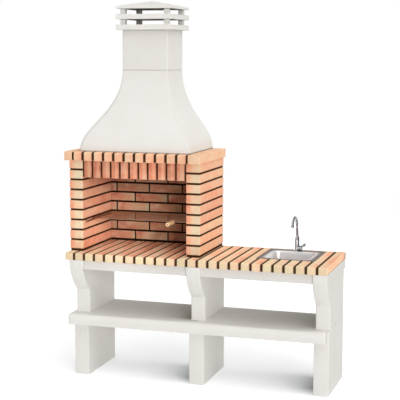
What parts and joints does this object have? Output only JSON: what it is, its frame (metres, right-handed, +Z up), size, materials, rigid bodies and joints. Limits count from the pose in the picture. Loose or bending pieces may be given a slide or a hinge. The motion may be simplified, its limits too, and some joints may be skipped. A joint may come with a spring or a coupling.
{
  "type": "outdoor masonry barbecue",
  "caption": "Brick and concrete garden barbecue: firebox with sliding grill under a bell hood and chimney cap, beside a brick worktop with inset sink, swivel tap and lower shelf.",
  "frame": {"origin": "on the ground, in the middle of the whole object's footprint", "axes": "+X along the worktop from the firebox to the sink, +Y from the front to the wall, +Z up"},
  "size_m": [1.8045, 0.66, 2.5373],
  "materials": {
    "concrete": "smooth cast",
    "wall_brick": "rough fired",
    "worktop_brick": "rough fired",
    "mortar": "raked",
    "sink_steel": "satin",
    "tap_chrome": "polished",
    "grill_steel": "plated",
    "handle_wood": "turned",
    "plug": "moulded"
  },
  "bodies": {
    "masonry": {"lower_leg_left": "concrete", "lower_leg_middle": "concrete", "lower_leg_right": "concrete", "upper_leg_left": "concrete", "upper_leg_middle": "concrete", "upper_leg_right": "concrete", "shelf_slab": "concrete", "counter_slab": "concrete", "hood": "concrete", "flue": "concrete", "cap_ring_lower": "concrete", "cap_ring_upper": "concrete", "cap_top": "concrete", "counter_mortar": "mortar", "counter_brick_01": "worktop_brick", "counter_brick_02": "worktop_brick", "counter_brick_03": "worktop_brick", "counter_brick_04": "worktop_brick", "counter_brick_05": "worktop_brick", "counter_brick_06": "worktop_brick", "counter_brick_07": "worktop_brick", "counter_brick_08": "worktop_brick", "counter_brick_09": "worktop_brick", "counter_brick_10": "worktop_brick", "counter_brick_11": "worktop_brick", "counter_brick_12": "worktop_brick", "counter_brick_13": "worktop_brick", "counter_brick_14": "worktop_brick", "counter_brick_15": "worktop_brick", "counter_brick_16": "worktop_brick", "counter_brick_17": "worktop_brick", "counter_brick_18": "worktop_brick", "counter_brick_19": "worktop_brick", "counter_brick_20": "worktop_brick", "counter_brick_21": "worktop_brick", "counter_brick_22": "worktop_brick", "counter_brick_23": "worktop_brick", "counter_brick_24": "worktop_brick", "counter_brick_25": "worktop_brick", "counter_brick_rear": "worktop_brick", "firebox_column_left": "wall_brick", "firebox_column_right": "wall_brick", "firebox_back_wall": "wall_brick", "lintel": "wall_brick", "crown_front": "wall_brick", "crown_left": "wall_brick", "crown_right": "wall_brick", "crown_rear": "wall_brick", "sink_bowl": "sink_steel", "sink_waste": "sink_steel", "tap_body": "tap_chrome", "tap_back_nut": "tap_chrome", "grill_rail_left": "grill_steel", "grill_rail_right": "grill_steel"},
    "grill": {"grill_grate": "grill_steel", "grill_handle": "handle_wood"},
    "spout": {"tap_spout": "tap_chrome"},
    "mixer": {"tap_cartridge_cap": "tap_chrome"},
    "lever": {"tap_lever": "tap_chrome"},
    "plug": {"sink_plug": "plug"}
  },
  "joints": [
    {"name": "grill_slide", "type": "slide", "parent": "masonry", "child": "grill", "axis": [0, -1, 0], "range_m": [0, 0.2]},
    {"name": "spout_swivel", "type": "hinge", "parent": "masonry", "child": "spout", "pos_m": [0.58175, 0.22, 0.9441], "axis": [0, 0, 1], "range_deg": [-120, 120]},
    {"name": "mixer_turn", "type": "hinge", "parent": "masonry", "child": "mixer", "pos_m": [0.61105, 0.22, 0.8791], "axis": [1, 0, 0], "range_deg": [-45, 45]},
    {"name": "lever_lift", "type": "hinge", "parent": "mixer", "child": "lever", "pos_m": [0.61596, 0.22, 0.8879], "axis": [0, 1, 0], "range_deg": [0, 20]},
    {"name": "plug_lift", "type": "slide", "parent": "masonry", "child": "plug", "axis": [0, 0, 1], "range_m": [0, 0.06]}
  ]
}
